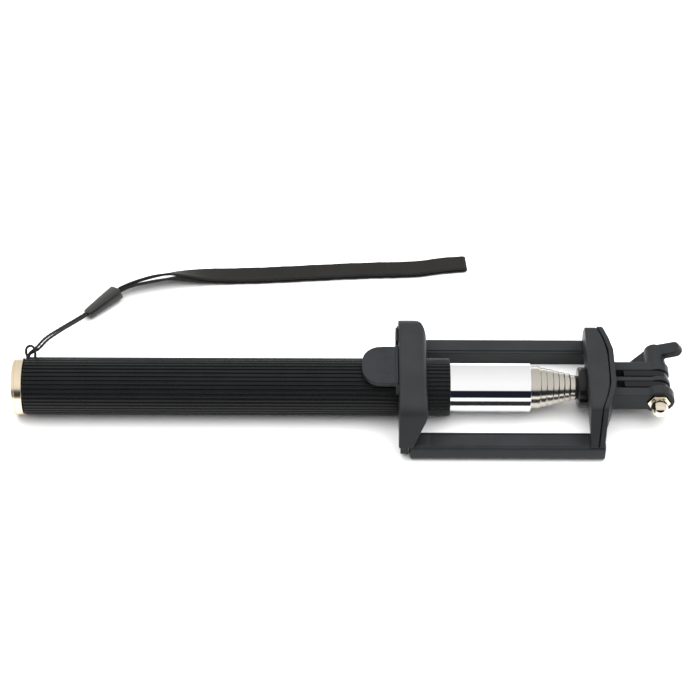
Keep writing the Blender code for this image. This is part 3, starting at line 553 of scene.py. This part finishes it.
def make_sleeve():
    """The moulded slider: a flattened taper with rounded ends, hollowed at its mouth."""
    axis = SLEEVE_MOUTH - SLEEVE_TIP
    length = axis.length
    along = axis.normalized()
    side = along.cross(Vector((0, 0, 1))).normalized()
    up = side.cross(along).normalized()
    sizes = [(0.0, 1.2), (0.1, 1.6), (0.35, 1.9), (0.8, 2.05), (1.6, 2.16), (4.0, 2.36), (8.0, 2.68),
             (length - 1.2, 3.0), (length - 0.5, 3.05), (length - 0.18, 2.96), (length, 2.7), (length - 0.1, 2.2),
             (length - 0.6, 1.9)]
    route = [SLEEVE_TIP + along * place for place, _ in sizes]
    tilt = Vector((math.cos(math.radians(24)), math.sin(math.radians(24))))

    def section(index, _):
        radius = sizes[index][1]
        ring = []
        for step in range(32):
            angle = 2 * math.pi * step / 32
            c, s = math.cos(angle), math.sin(angle)
            power = 2 / 4.5
            flat = radius * 0.93 * math.copysign(abs(c) ** power, c)
            deep = radius * 0.72 * math.copysign(abs(s) ** power, s)
            ring.append((flat * tilt.x - deep * tilt.y, flat * tilt.y + deep * tilt.x))
        return ring

    sleeve = sweep("strap_slider", route, section, [(side, up)] * len(route))
    return piece(sleeve, SLEEVE, "handle", ["strap_sleeve"])


SLEEVE_PIECE = make_sleeve()
make_cord("strap_cord_rear", CORD_A, "strap_cord_a")
make_cord("strap_cord_front", CORD_B, "strap_cord_b")


def make_fold(upper, lower):
    """The band's folded end, from the upper leg round to the lower one."""
    last, before = upper[-1], upper[-4]
    along = (last - before).normalized()
    middle = (upper[-1] + lower[-1]) / 2
    half = (upper[-1] - lower[-1]).length / 2
    side = Vector((0.0, -1.0, 0.0))
    side = (side - along * side.dot(along)).normalized()
    route, frames = [], []
    for step in range(13):
        angle = math.radians(90 - 15 * step)
        reach = 1.5
        route.append(middle + along * (half * reach * math.cos(angle)) + Vector((0, 0, half * math.sin(angle))))
        heading = (along * (-reach * math.sin(angle)) + Vector((0, 0, math.cos(angle)))).normalized()
        frames.append((side, side.cross(-heading).normalized()))

    def section(_, __):
        return band_ring(BAND_HALF_WIDTH, BAND_HALF_THICKNESS)

    fold = sweep("strap_fold", route, section, frames)
    return piece(fold, WEBBING, "handle", [])


upper_band, upper_route = make_band("strap_leg_upper", 1, "strap_band_upper", 0.1208)
lower_band, lower_route = make_band("strap_leg_lower", -1, "strap_band_lower", 0.1208)
fold_piece = make_fold(upper_route, lower_route)


# ---------------------------------------------------------------- handle

GRIP_RADIUS, GRIP_START, GRIP_END = 9.6, -107.45, 33.75
GRIP_RIBS, RIB_DEPTH, RIB_STEPS = 42, 0.55, 14
GRIP_BORE = 8.45


def strap_hole_tools():
    """The notch in the handle's end and the round hole beside it, for the strap's cord."""
    notch = prism("notch", fillet([(-1.9, 5, 0), (1.9, 5, 0), (1.9, 13, 0), (-1.9, 13, 0)], closed=True),
                  GRIP_START - 2, -106.0, "X")
    hole = lathe("hole", [(13, 0), (13, 0.85), (5, 0.85), (5, 0)], "Z", (-104.35, -0.8, 0), 24)
    for tool in (notch, hole):
        tool.data.transform(Matrix.Rotation(HOLE_ANGLE - math.pi / 2, 4, "X"))
        for vertex in tool.data.vertices:
            vertex.co.z += POLE_Z * MM
    return notch, hole


def rib_radius(share):
    """The grip's radius across one rib: a soft crown, rounded shoulders and a narrow valley."""
    distance = abs(((share - 0.25 + 0.5) % 1.0) - 0.5)
    crown, valley = 0.17, 0.36
    if distance < crown:
        return GRIP_RADIUS - 0.05 * (distance / crown) ** 2
    if distance > valley:
        return GRIP_RADIUS - RIB_DEPTH
    fall = (distance - crown) / (valley - crown)
    return GRIP_RADIUS - 0.05 - (RIB_DEPTH - 0.05) * fall * fall * (3 - 2 * fall)


def make_grip():
    count = GRIP_RIBS * RIB_STEPS
    stations = [(GRIP_START, 0.4), (GRIP_START + 0.15, 0.15), (GRIP_START + 0.4, 0.0), (-60.0, 0.0), (-10.0, 0.0),
                (GRIP_END - 0.45, 0.0), (GRIP_END - 0.15, 0.15), (GRIP_END, 0.4)]
    points, faces = [], []
    for x, inset in stations:
        for step in range(count):
            angle = 2 * math.pi * (step / count - 0.25 - 0.25 / GRIP_RIBS)
            radius = min(rib_radius((step / RIB_STEPS) % 1.0), GRIP_RADIUS - inset)
            points.append((x, radius * math.cos(angle), POLE_Z + radius * math.sin(angle)))
    for x in (GRIP_END, GRIP_START):
        for step in range(count):
            angle = 2 * math.pi * (step / count - 0.25 - 0.25 / GRIP_RIBS)
            points.append((x, GRIP_BORE * math.cos(angle), POLE_Z + GRIP_BORE * math.sin(angle)))
    rings = len(stations) + 2
    for ring in range(rings):
        low, high = ring * count, ((ring + 1) % rings) * count
        for step in range(count):
            after = (step + 1) % count
            faces.append([low + step, low + after, high + after, high + step])
    grip = solid("ribbed_grip", points, faces)
    cut(grip, *strap_hole_tools())
    smooth(grip, 42)
    piece(grip, RUBBER, "handle", ["grip_sleeve"])


def make_handle_metal():
    cap_face = -111.35
    flange = GRIP_START - 0.3
    cap = fillet([(-99.0, 0, 0), (-99.0, 5.8, 0.2), (flange, 5.8, 0), (flange, 9.6, 0.25), (-110.1, 9.6, 0.15),
                  (-110.25, 9.45, 0.05), (-110.4, 9.6, 0.1), (cap_face, 9.6, 0.75), (cap_face, 7.6, 0.25),
                  (cap_face + 0.45, 7.1, 0.3), (cap_face + 0.45, 0, 0)], 6)
    piece(smooth(lathe("cap_turned", cap, "X", (0, 0, POLE_Z), 128)), GOLD, "handle", ["end_cap"])
    mouth, tip = 7.2, 60.55
    tube = fillet([(tip - 2.0, 7.75, 0), (tip - 1.5, mouth, 0.2), (tip, mouth, 0.15), (tip, 8.15, 0.3),
                   (GRIP_START, 8.15, 0), (GRIP_START, 7.75, 0)], 5, closed=True)
    outer = lathe("chrome_tube_outer", tube, "X", (0, 0, POLE_Z), 160)
    cut(outer, *strap_hole_tools())
    piece(smooth(outer), CHROME, "handle", ["tube_1"])


make_grip()
make_handle_metal()


# ---------------------------------------------------------------- sliding tubes and head

TUBE_RADII = (8.15, 7.1, 6.62, 6.15, 5.7, 5.25, 4.8, 4.3)
TUBE_TIPS = (60.55, 63.95, 65.95, 68.15, 70.05, 71.95, 73.85, 75.95)
TUBE_START, TUBE_WALL = -70.0, 0.25
RIM_LENGTH, RIM_DEPTH = 0.95, 0.42


def make_sliding_tubes():
    for index in range(1, len(TUBE_RADII)):
        radius, tip = TUBE_RADII[index], TUBE_TIPS[index]
        shown = radius - 0.1
        turns = [math.radians(a) for a in range(0, 91, 10)]
        rim = [(tip - RIM_LENGTH + RIM_LENGTH * math.sin(a), shown - RIM_DEPTH * (1 - math.cos(a)))
               for a in turns]
        profile = [(TUBE_START, radius - TUBE_WALL), (TUBE_START, shown)] + rim
        profile += [(tip - 0.12, radius - TUBE_WALL - 0.2), (tip - 0.3, radius - TUBE_WALL)]
        tube = lathe("sliding_tube_%d" % (index + 1), profile, "X", (0, 0, POLE_Z), 128)
        if index == len(TUBE_RADII) - 1:
            cut(tube, lathe("pin_hole", [(20, 0), (20, 1.05), (0, 1.05), (0, 0)], "Z", (68.0, 0, 0), 24))
        piece(smooth(tube), SATIN, "section_%d" % (index + 1), ["tube_%d" % (index + 1)])


make_sliding_tubes()
collar = soften(cad_copy("head_collar", "pole_head"), 0.16, 5, 0.35)
piece(collar, GLOSSY, "section_8", ["pole_head"])


# ---------------------------------------------------------------- rails

RAIL_Y, RAIL_START, RAIL_END, RAIL_TOP = 20.4, 20.55, 84.55, 7.1
RAIL_HALF_WIDTH, WALL_RECESS, LIP_HEIGHT = 3.3, 0.75, 1.25
LAND_START, LAND_END, LAND_HALF_WIDTH, LAND_HEIGHT = 27.0, 78.0, 2.3, 0.15
FOOT_SCREW_X, FOOT_SCREW_Y = 82.8, 19.0


def make_rail(word, side):
    """A moulded rail: a lip along its inner top edge, a land for the phone and a bore for the slide."""
    inner, outer = RAIL_Y - RAIL_HALF_WIDTH, RAIL_Y + RAIL_HALF_WIDTH
    wall, lip_under = inner + WALL_RECESS, RAIL_TOP - LIP_HEIGHT
    outline = fillet([(wall, 0, 0.4), (outer + 0.1, 0, 2.4), (outer - 0.1, RAIL_TOP, 1.5),
                      (inner + 1.05, RAIL_TOP, 0.08), (inner + 0.95, RAIL_TOP - 0.3, 0.08),
                      (inner + 0.7, RAIL_TOP - 0.3, 0.08), (inner + 0.6, RAIL_TOP, 0.1), (inner, RAIL_TOP, 0.25),
                      (inner, lip_under, 0.2), (wall, lip_under, 0.2)], 5, closed=True)
    outline = [(side * across, up) for across, up in outline]
    rail = prism("channel_" + word, outline, RAIL_START, RAIL_END, "X")
    bevel(rail, 0.22, 2, 60)
    middle = side * RAIL_Y
    face = rectangle(LAND_START, LAND_END, middle - LAND_HALF_WIDTH, middle + LAND_HALF_WIDTH)
    land = prism("land", face, RAIL_TOP - 0.5, RAIL_TOP + LAND_HEIGHT, "Z")
    fuse(rail, bevel(land, 0.08, 2, 60))
    bore = prism("bore", rectangle(middle - 1.9, middle + 1.9, 1.3, 5.8), RAIL_START - 2, 79.0, "X")
    screw_at = (FOOT_SCREW_X, side * FOOT_SCREW_Y, 0)
    stepped = [(9, 0), (9, 1.05), (1.9, 1.05), (1.9, 1.6), (-2, 1.6), (-2, 0)]
    hole = lathe("screw_hole", stepped, "Z", screw_at, 32)
    pin = lathe("pin_hole", [(2.3, 0), (2.3, 0.9), (-2, 0.9), (-2, 0)], "Z", (77.4, middle, 0), 24)
    cut(rail, bore, hole, pin)
    smooth(rail, 30)
    piece(rail, PLASTIC, "clamp", ["rail_" + word])


def make_screw(name, low, end, axis, origin, body, node):
    """A pan-head screw with a cross recess and a threaded shank."""
    profile = [(low, 0), (low, 0.7), (low + 0.12, 1.05), (low + 0.35, 1.25), (low + 1.0, 1.3), (low + 1.0, 0.72)]
    turns = int((end - low - 1.6) / 0.5)
    for turn in range(turns):
        base = low + 1.1 + turn * 0.5
        profile += [(base, 0.6), (base + 0.25, 0.75)]
    profile += [(end - 0.5, 0.6), (end, 0.35), (end, 0)]
    screw = lathe(name, profile, axis, origin, 32)
    x, y, z = origin
    for wide, thin in ((0.16, 0.75), (0.75, 0.16)):
        if axis == "Z":
            slot = rectangle(x - wide, x + wide, y - thin, y + thin)
            tool = prism("slot", slot, z + low - 1, z + low + 0.5, "Z")
        else:
            slot = rectangle(y - wide, y + wide, z - thin, z + thin)
            tool = prism("slot", slot, x + low - 1, x + low + 0.5, "X")
        cut(screw, tool)
    piece(smooth(screw), STEEL, body, [node])


for rail_word, rail_side in (("front", -1), ("rear", 1)):
    make_rail(rail_word, rail_side)
    make_screw("foot_screw_" + rail_word, 0.4, 10.4, "Z", (FOOT_SCREW_X, rail_side * FOOT_SCREW_Y, 0), "clamp",
               "rail_screw_" + rail_word)
    make_screw("lug_screw_" + rail_word, 17.35, 29.0, "X", (0, rail_side * RAIL_Y, 3.55), "top_jaw",
               "slide_screw_" + rail_word)


# ---------------------------------------------------------------- moving jaw

def sheared(tool, rate, from_z):
    """Lean a cutter outward as it goes down, as the jaw's sides do."""
    for vertex in tool.data.vertices:
        vertex.co.y += rate * (from_z * MM - vertex.co.z)
    return tool


def ellipse_corner(corner, reach_x, reach_y, steps=10):
    """A quarter ellipse that rounds a corner at its largest x and y."""
    x, y = corner
    return [(x - reach_x + reach_x * math.cos(math.radians(90 * step / steps)),
             y - reach_y + reach_y * math.sin(math.radians(90 * step / steps))) for step in range(steps + 1)]


FOOT_Z = 7.4
TOP_JAW = {"top_half": 19.6, "top_z": 22.8, "foot_half": 24.2, "arch": 10.2, "corner": 5.5}
BASE_JAW = {"top_half": 17.2, "top_z": 21.0, "foot_half": 23.7, "arch": 7.6, "corner": 2.5}
TOP_LEFT, TOP_RIGHT, TOP_FOOT_RIGHT = 16.6, 25.95, 21.55
BASE_LEFT, BASE_FOOT_LEFT, SHELL_BACK, SHELL_WALL = 78.95, 79.7, 87.85, 1.7
LUG_HALF_WIDTH, LUG_UNDERSIDE = 22.2, 1.9


def jaw_outline(jaw):
    """A jaw across the pole: straight flared sides, round top corners, an arch for the pole."""
    outside = fillet([(jaw["foot_half"], FOOT_Z, 0), (jaw["top_half"], jaw["top_z"], jaw["corner"]),
                      (-jaw["top_half"], jaw["top_z"], jaw["corner"]), (-jaw["foot_half"], FOOT_Z, 0)], 8, True)
    radius = jaw["arch"]
    arch = [(-radius, FOOT_Z)]
    arch += [(radius * math.cos(math.radians(a)), POLE_Z + radius * math.sin(math.radians(a)))
             for a in range(180, -1, -9)]
    return outside + arch + [(radius, FOOT_Z)]


def tab_outline(reach, straight):
    """The thumb tab from above: a wide round end, out to a given reach from its two centres."""
    centre_x, flat = 10.75, 1.6
    line = [(straight, flat + reach)]
    for start, side in ((90, 1), (180, -1)):
        line += [(centre_x + reach * math.cos(math.radians(a)), side * flat + reach * math.sin(math.radians(a)))
                 for a in range(start, start + 91, 9)]
    return line + [(straight, -flat - reach)]


def make_moving_jaw():
    pad = prism("jaw_cover_moving", jaw_outline(TOP_JAW), TOP_LEFT, TOP_RIGHT + 1, "X")
    side = fillet([(TOP_LEFT, FOOT_Z - 1, 0), (TOP_FOOT_RIGHT - 0.3, FOOT_Z - 1, 0), (TOP_FOOT_RIGHT, 8.0, 1.0),
                   (TOP_RIGHT, 18.5, 6.0), (TOP_RIGHT, TOP_JAW["top_z"] + 0.02, 3.0),
                   (TOP_LEFT, TOP_JAW["top_z"] + 0.02, 0.9)], 8, True)
    flare = (TOP_JAW["foot_half"] - TOP_JAW["top_half"]) / (TOP_JAW["top_z"] - FOOT_Z)
    plan = [(TOP_LEFT - 1, -45), (TOP_RIGHT + 0.02, -45)] + ellipse_corner((TOP_RIGHT + 0.02, 19.75), 5.4, 8.5)
    plan += [(TOP_LEFT - 1, 19.75)]
    side_cut = prism("side_cut", side, -30, 30, "Y")
    keep_within(pad, side_cut, sheared(prism("plan_cut", plan, 4, 26, "Z"), flare, TOP_JAW["top_z"]))
    for end in (-1, 1):
        toe = fillet([(end * 18.6, 9.0, 0), (end * 23.6, 9.0, 0), (end * 24.2, 6.3, 1.4), (end * 18.6, 6.3, 0)],
                     5, True)
        fuse(pad, prism("toe", toe, TOP_LEFT + 0.02, 20.2, "X"))
    piece(soften(pad, 0.2, 34, 0.3), SOFT, "top_jaw", ["top_jaw_pad"])

    core = cad_copy("jaw_core_moving", "top_jaw_body")
    rim = prism("rim", tab_outline(5.9, 15.5), 20.15, 20.5, "Z")
    groove = prism("groove", [(0, 12), (0, -12), (15.4, -12), (15.4, 12)], 20.15, 20.5, "Z")
    cut(groove, rim)
    below = prism("plate_below", rectangle(-26, -8.2, 0, 26), 14.0, 16.7, "X")
    above = prism("plate_above", rectangle(8.2, 10.0, 0, 26), 14.0, 16.7, "X")
    low = prism("plate_low", rectangle(9.9, 26, 0, 13.0), 14.0, 16.7, "X")
    cut(core, groove, below, above, low)
    for end in (-1, 1):
        cut(core, prism("lug_side", rectangle(end * LUG_HALF_WIDTH, end * 28, -2, 6.0), 10, 20.2, "X"))
    cut(core, prism("lug_under", rectangle(-30, 30, -2, LUG_UNDERSIDE), 10, 20.2, "X"))
    for index in range(6):
        x = 9.6 + index * 0.98
        reach = 4.3 - 0.1 * (5 - index) ** 1.3
        fuse(core, prism("ridge", rectangle(x, x + 0.42, -reach, reach), 20.9, 21.48, "Z"))
    piece(soften(core, 0.15, 4, 0.35), PLASTIC, "top_jaw", ["top_jaw_body"])


make_moving_jaw()


# ---------------------------------------------------------------- fixed jaw and hinge

# The fixed jaw's curved back: distance from the middle, and how far it has come forward there.
BACK_DROPS = ((0.0, 0.0), (5.0, 0.05), (7.0, 0.2), (9.5, 0.6), (12.0, 1.2), (14.5, 2.0), (17.2, 3.0), (26.0, 4.3))


def back_x(y, x):
    """Where the curved back is at y, when it is at x in the middle."""
    distance = abs(y)
    for (near, drop_near), (far, drop_far) in zip(BACK_DROPS, BACK_DROPS[1:]):
        if distance <= far:
            return x - drop_near - (distance - near) / (far - near) * (drop_far - drop_near)
    return x - BACK_DROPS[-1][1]


def make_fixed_jaw():
    pad = prism("jaw_cover_fixed", jaw_outline(BASE_JAW), BASE_LEFT - 1, SHELL_BACK, "X")
    back = SHELL_BACK - SHELL_WALL - 0.3
    plan = [(back_x(y / 2, back), y / 2) for y in range(52, -53, -3)] + [(BASE_LEFT, -26.0), (BASE_LEFT, 26.0)]
    top = BASE_JAW["top_z"] + 0.02
    side = fillet([(BASE_FOOT_LEFT, FOOT_Z - 1, 0), (SHELL_BACK, FOOT_Z - 1, 0), (SHELL_BACK, top, 0),
                   (BASE_LEFT, top, 0.9), (BASE_LEFT, 15.0, 4.0)], 6, True)
    keep_within(pad, prism("plan_cut", plan, 0, 30, "Z"), prism("side_cut", side, -30, 30, "Y"))
    piece(soften(pad, 0.2, 10, 0.3), SOFT, "clamp", ["base_jaw_pad"])
    shell = soften(cad_copy("jaw_shell_fixed", "base_jaw_shell"), 0.17, 5, 0.35)
    piece(shell, PLASTIC, "clamp", ["base_jaw_shell"])
    wing = soften(cad_copy("wing_screw", "thumb_wing"), 0.15, 12, 0.4)
    piece(wing, PLASTIC, "thumb_screw", ["thumb_wing"])


make_fixed_jaw()


def make_acorn_nut():
    x, y, z = HINGE
    corner = 3.83
    hexagon = [(x + corner * math.cos(math.radians(60 * step)), z + corner * math.sin(math.radians(60 * step)))
               for step in range(6)]
    nut = prism("nut_domed", hexagon, -7.7, -4.9, "Y")
    chamfer = [(-4.0, 0), (-4.0, corner - 0.2), (-5.5, corner + 0.3), (-7.35, corner + 0.3),
               (-8.1, corner - 0.9), (-8.1, 0)]
    keep_within(nut, lathe("nut_chamfer", chamfer, "Y", HINGE, 96))
    bevel(nut, 0.12, 2, 25)
    centre, radius = -9.9, 2.8
    dome = [(-6.5, 0), (-6.5, 2.6), (-7.9, 2.6), (-8.05, 2.72), (-8.3, radius)]
    dome += [(centre - radius * math.sin(math.radians(a)), radius * math.cos(math.radians(a)))
             for a in range(0, 88, 6)]
    dome.append((-12.7, 0))
    fuse(nut, lathe("dome", dome, "Y", HINGE, 96))
    cut(nut, lathe("nut_bore", [(-10.2, 0), (-10.2, 2.3), (0, 2.3), (0, 0)], "Y", HINGE, 48))
    piece(smooth(nut, 30), NICKEL, "clamp", ["acorn_nut"])


make_acorn_nut()

for kept_finish, kept_nodes in ((INNER, ("cap_plug", "rear_buffer")), (PLASTIC, ("slide_front", "slide_rear")),
                                (STEEL, ("head_pin", "spring_front", "spring_rear", "spring_pin_front",
                                         "spring_pin_rear", "thumb_bolt"))):
    for kept_node in kept_nodes:
        dress(kept_node, kept_finish)
for bush in range(2, 9):
    dress("bush_%d" % bush, BRONZE)


# ---------------------------------------------------------------- floor and light

def make_floor():
    reach, level = 4000, -0.05
    floor = solid("floor", [(x, y, level) for x, y in rectangle(-reach, reach, -reach, reach)], [[0, 1, 2, 3]])
    made = bpy.data.materials.new("white_table")
    made.use_nodes = True
    graph = Graph(made.node_tree)
    shader = made.node_tree.nodes["Principled BSDF"]
    place = graph.node("ShaderNodeTexCoord").outputs["Object"]
    graph.feed(shader.inputs["Base Color"],
               graph.mix(graph.noise(place, 60.0), (0.6, 0.6, 0.6, 1), (0.62, 0.62, 0.62, 1)))
    shader.inputs["Roughness"].default_value = 0.6
    shader.inputs["Specular IOR Level"].default_value = 0.2
    floor.data.materials.append(made)


def make_world():
    """A white light tent with a dark opening low in front of the object."""
    world = bpy.data.worlds.new("light_tent")
    bpy.context.scene.world = world
    world.use_nodes = True
    graph = Graph(world.node_tree)
    ground = world.node_tree.nodes["Background"]
    direction = graph.node("ShaderNodeTexCoord").outputs["Generated"]
    heading = graph.node("ShaderNodeSeparateXYZ", {"Vector": direction})
    x, y, z = heading.outputs["X"], heading.outputs["Y"], heading.outputs["Z"]
    height = graph.math("ARCTAN2", z, graph.math("MULTIPLY", y, -1.0))
    above = graph.span(height, math.radians(-3), math.radians(0), 0.0, 1.0, "SMOOTHSTEP")
    below = graph.span(height, math.radians(32), math.radians(37), 1.0, 0.0, "SMOOTHSTEP")
    ahead = graph.span(graph.math("ABSOLUTE", x), 0.7, 0.9, 1.0, 0.0, "SMOOTHSTEP")
    opening = graph.math("MULTIPLY", graph.math("MULTIPLY", above, below), ahead)
    overhead = graph.span(height, math.radians(70), math.radians(180), 1.04, 0.8)
    tent = graph.node("ShaderNodeCombineColor", {"Red": overhead, "Green": overhead, "Blue": overhead})
    graph.feed(ground.inputs["Color"], graph.mix(opening, tent.outputs["Color"], (0.012, 0.014, 0.024, 1)))
    ground.inputs["Strength"].default_value = 1.0


def area_light(name, place, size, power, target=(0.0, 0.0, 0.0), size_y=None):
    data = bpy.data.lights.new(name, "AREA")
    data.shape = "RECTANGLE"
    data.size = size
    data.size_y = size_y or size
    data.energy = power
    lamp = bpy.data.objects.new(name, data)
    bpy.context.scene.collection.objects.link(lamp)
    lamp.location = place
    lamp.rotation_euler = (Vector(target) - Vector(place)).to_track_quat("-Z", "Y").to_euler()
    lamp.visible_glossy = False


make_floor()
make_world()
area_light("overhead", (0.05, 0.05, 1.1), 1.7, 48.0, size_y=1.5)
bpy.context.scene.view_settings.view_transform = "Standard"
